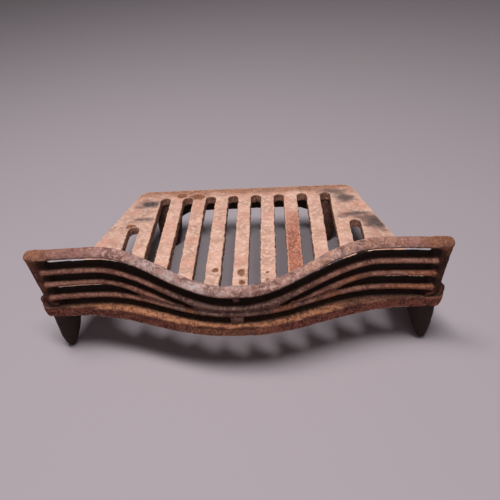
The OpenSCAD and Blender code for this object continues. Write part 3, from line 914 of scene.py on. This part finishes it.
def rusted_iron(name, rust, worn, layers, coverage, bump, ragged):
    """Rusted iron, in layers of mask, share, softness of the mask's edge, and palette."""
    material = bpy.data.materials.new(name)
    material.use_nodes = True
    tree = material.node_tree
    shader = tree.nodes["Principled BSDF"]
    where = add(tree, "TexCoord").outputs["Object"]
    first = mottled(tree, where, rust)
    colour = first.outputs["Color"]
    for layer in layers:
        colour = layered(tree, where, colour, *layer)
    wear = use(tree, edge_wear, Position=where, Color=colour, Worn=paint(worn), Dirt=DIRT,
               Sharpness=mask_of(tree, "sharp"))
    skin_pits = use(tree, pitting, Position=where, Pit_Size=PIT_SIZE, Coverage=coverage)
    pitted = math_node(tree, "MULTIPLY", skin_pits.outputs["Pits"], PIT_DIRT)
    colour = mix(tree, pitted, wear.outputs["Color"], DIRT)
    # Soot under the plate and legs, and painted shade in the fret's gaps, under the fret and on the lugs
    colour = use(tree, soot_and_shade_group, Position=where, Color=colour, Soot=SOOT_AND_SHADE_BLACK,
                 Amount=mask_of(tree, "sooty"), Raggedness=ragged).outputs["Color"]
    tree.links.new(colour, shader.inputs["Base Color"])
    grain = span(tree, first.outputs["Grain"], *GRAINS)
    rougher = math_node(tree, "MULTIPLY", grain, GRAIN_ROUGHNESS)
    tree.links.new(math_node(tree, "ADD", SMOOTHEST, rougher), shader.inputs["Roughness"])
    shader.inputs["Specular IOR Level"].default_value = SHEEN
    relief = add(tree, "Bump", {"Height": skin_pits.outputs["Height"], "Strength": 1.0,
                                "Distance": bump})
    tree.links.new(relief.outputs["Normal"], shader.inputs["Normal"])
    print(name, "has", len(tree.nodes), "nodes")
    return material


# %% [markdown]
# ### Iron of the bed
# Each palette is a patch size, a dark, a middle and a light colour, and a fleck. They were
# tried on the whole grate and corrected place by place, because one layer changes how the
# next one looks. The legs have seen only soot, so they need no layers.

# %% The bed and its legs
BED_RUST = (12 * MM, "#7a5142", "#9b6d5a", "#b98d7a", "#cfa796")
# Painted light on the forward-facing end walls of the slots
LIT_WALLS = (8 * MM, "#83594a", "#a87a66", "#c49885", "#d9b5a2")
MAUVE = (6 * MM, "#52261f", "#80463a", "#a56b5c", "#c99a8b")
CRUSTED = (3.2 * MM, "#3a1410", "#884231", "#dca783", "#fbdcc0")
# Rust on the ledge's top, darkened at its ends partly as painted shade of the fret
LEDGE_RUST_AND_SHADE = (6 * MM, "#3d241e", "#61402f", "#85594a", "#a67a66")
OCHRE = (3.5 * MM, "#5a3123", "#976347", "#c28b6a", "#e6be9e")
FLAKED = (4 * MM, "#200e0b", "#3a1913", "#5f3024", "#8a4c3b")
BLEACHED = (15 * MM, "#b58e7e", "#cca292", "#dab9a7", "#eddacb")
PINKED = (7 * MM, "#ae7d6c", "#c48d7b", "#d5a493", "#e8c8b9")
BROWNED = (7 * MM, "#6f4a3b", "#94654f", "#b2836b", "#c9a088")
REDDENED = (8 * MM, "#7f4536", "#a05f4b", "#c0876f", "#dcae99")
SMUDGED = (5 * MM, "#2e2829", "#4a4040", "#6a5e5d", "#8c7c79")
STAINED = (4 * MM, "#5d3826", "#7d5039", "#96654b", "#ad7f63")
LEG_RUST = (10 * MM, "#3a251e", "#4d3128", "#664336", "#7d5546")
ON_BED = [("walled", 1.0, 0.5, LIT_WALLS), ("mauve", 1.0, 0.4, MAUVE), ("crusted", 1.0, 0.4, CRUSTED),
          ("ledge", 1.0, 0.5, LEDGE_RUST_AND_SHADE), ("ochre", 1.0, 0.5, OCHRE), ("flaked", 0.9, 0.4, FLAKED),
          ("bleached", 1.0, 0.5, BLEACHED), ("pinked", 0.55, 0.5, PINKED),
          ("browned", 0.85, 0.5, BROWNED), ("reddened", 0.9, 0.5, REDDENED),
          ("smudged", 0.95, 0.5, SMUDGED), ("stained", 0.95, 0.2, STAINED)]
bed_iron = rusted_iron("bed_iron", BED_RUST, worn="#dcb8a4", layers=ON_BED,
                       coverage=0.36, bump=0.22 * MM, ragged=0.7)
leg_iron = rusted_iron("leg_iron", LEG_RUST, worn="#6b4a3d", layers=[],
                       coverage=0.32, bump=0.35 * MM, ragged=0.7)

# %% [markdown]
# ### Iron of the fret
# The bars and posts are darker and redder than the rail above them. The bars' noses carry
# a painted highlight, and the gaps and posts painted shade. Both share the rail's layers,
# because the posts reach up to the rail's ends.

# %% The fret and its rail
FRET_RUST = (14 * MM, "#54302a", "#744638", "#96604e", "#b07c6a")
# The painted highlight on the noses' upper sides
NOSE_HIGHLIGHT = (10 * MM, "#734a3e", "#96685a", "#b58473", "#d2a693")
# The painted highlight on the noses near the middle, greyer and dimmer
MIDDLE_NOSE_HIGHLIGHT = (10 * MM, "#4c3430", "#6f5751", "#947a72", "#b89f97")
ORANGED = (9 * MM, "#74402c", "#9e6146", "#bd7f5c", "#d8a182")
SHADED = (8 * MM, "#2f1911", "#43251b", "#5c3426", "#7a4b3a")
RUBBED = (11 * MM, "#6f4d46", "#96736c", "#ba968e", "#e6cdc4")
GREYED = (6 * MM, "#806a6b", "#a68f8c", "#cab8b3", "#efe6e1")
TANNED = (8 * MM, "#7d5546", "#a87e6d", "#c8a391", "#e2c4b4")
DUSKY = (5 * MM, "#33201f", "#553b39", "#7a5b54", "#a7877d")
WHITENED = (3 * MM, "#8f7d7c", "#b5a5a2", "#d3c8c4", "#f0e9e5")
REDDISH = (9 * MM, "#5f3a32", "#81534a", "#a06f64", "#d0a69a")
CHIPPED = (3 * MM, "#1f1211", "#392322", "#5c3f3c", "#8a6a63")
CORNER_RUST = (7 * MM, "#593322", "#774932", "#956346", "#b5876a")
ON_BARS = [("nosed", 1.0, 0.5, NOSE_HIGHLIGHT), ("dimmed", 0.75, 0.5, MIDDLE_NOSE_HIGHLIGHT),
           ("oranged", 0.7, 0.5, ORANGED), ("shaded", 1.0, 0.5, SHADED)]
ON_RAIL = [("rubbed", 0.95, 0.5, RUBBED), ("greyed", 0.75, 0.5, GREYED),
           ("tanned", 0.75, 0.4, TANNED), ("dusky", 0.35, 0.4, DUSKY),
           ("whitened", 0.5, 0.5, WHITENED), ("reddish", 0.6, 0.5, REDDISH),
           ("chipped", 0.8, 0.3, CHIPPED), ("rusty", 0.8, 0.5, CORNER_RUST)]
fret_iron = rusted_iron("fret_iron", FRET_RUST, worn="#b48474", layers=ON_BARS + ON_RAIL,
                        coverage=0.36, bump=0.12 * MM, ragged=0.1)
rail_iron = rusted_iron("rail_iron", FRET_RUST, worn="#c7a69b", layers=ON_RAIL,
                        coverage=0.40, bump=0.25 * MM, ragged=0.15)

# %% Give the pieces their iron
irons = {"bed_iron": bed_iron, "leg_iron": leg_iron, "fret_iron": fret_iron, "rail_iron": rail_iron}
for name, piece in pieces.items():
    piece.data.materials.append(irons[slot_of[name]])
print("pieces of each iron:", {name: list(slot_of.values()).count(name) for name in irons})

# %% [markdown]
# ## Floor, light and camera
# The floor and the light are plain, so that the iron's own colours show. A long lamp
# hangs nearly overhead, a little in front and to the left: a small one would draw hard
# shadows of every bar, and a dome would draw none. A weak lamp fills the front.

# %% Floor
FLOOR_SIZE = 6.0
FLOOR_COLOUR = paint("#a0979e")
FLOOR_ROUGHNESS = 0.8
bpy.ops.mesh.primitive_plane_add(size=FLOOR_SIZE, location=(0, 0, 0))
floor = bpy.context.object
floor.name = "floor"
floor_paint = bpy.data.materials.new("pale_floor")
floor_paint.use_nodes = True
floor_shader = floor_paint.node_tree.nodes["Principled BSDF"]
floor_shader.inputs["Base Color"].default_value = FLOOR_COLOUR
floor_shader.inputs["Roughness"].default_value = FLOOR_ROUGHNESS
floor.data.materials.append(floor_paint)
print("floor:", FLOOR_SIZE, "m square")

# %% Lamps
AIM = Vector((0, 0, 0.05))


def lamp(name, place, size, power, colour):
    """An area lamp of some width and depth at a place, aimed at the grate."""
    data = bpy.data.lights.new(name, "AREA")
    data.shape = "RECTANGLE"
    data.size, data.size_y = size
    data.energy = power
    data.color = colour
    made = bpy.data.objects.new(name, data)
    made.location = place
    made.rotation_mode = "QUATERNION"
    made.rotation_quaternion = (AIM - Vector(place)).to_track_quat("-Z", "Y")
    bpy.context.scene.collection.objects.link(made)
    return made


lamps = [
    lamp("overhead_lamp", (-0.12, -0.17, 1.5), size=(1.1, 0.3), power=27.5, colour=(1.0, 0.97, 0.95)),
    lamp("front_fill", (0.3, -1.5, 1.3), size=(1.2, 1.2), power=3, colour=(1.0, 0.98, 0.97))]
print("lamps:", {made.name: made.data.energy for made in lamps})

# %% Background
DIM_SURROUNDINGS = paint("#303032")
PALE_WALL = paint("#b5b1b1")
world = bpy.data.worlds.new("studio")
world.use_nodes = True
bpy.context.scene.world = world
sky = world.node_tree.nodes["Background"]
path = add(world.node_tree, "LightPath")
seen = path.outputs["Is Camera Ray"]
for way in ("Is Glossy Ray", "Is Transmission Ray"):
    seen = math_node(world.node_tree, "MAXIMUM", seen, path.outputs[way])
background = mix(world.node_tree, seen, DIM_SURROUNDINGS, PALE_WALL)
world.node_tree.links.new(background, sky.inputs["Color"])
print("background has", len(world.node_tree.nodes), "nodes")

# %% Camera at the photo's angle
CAMERA_PLACE = (0.036045, -0.41146, 0.371985)
# In degrees: tilted up from straight down, rolled, and turned to the left
CAMERA_ANGLES = (52.048, 3.399, 1.239)
# In mm, as on a real camera
SENSOR_WIDTH, FOCAL_LENGTH = 36, 36
lens = bpy.data.cameras.new("camera")
lens.sensor_width = SENSOR_WIDTH
lens.lens = FOCAL_LENGTH
lens.clip_start = 10 * MM
camera = bpy.data.objects.new("camera", lens)
camera.location = CAMERA_PLACE
camera.rotation_euler = [math.radians(angle) for angle in CAMERA_ANGLES]
bpy.context.scene.collection.objects.link(camera)
bpy.context.scene.camera = camera
bpy.context.scene.view_settings.view_transform = "Standard"
print("camera at", [round(v, 3) for v in camera.location])
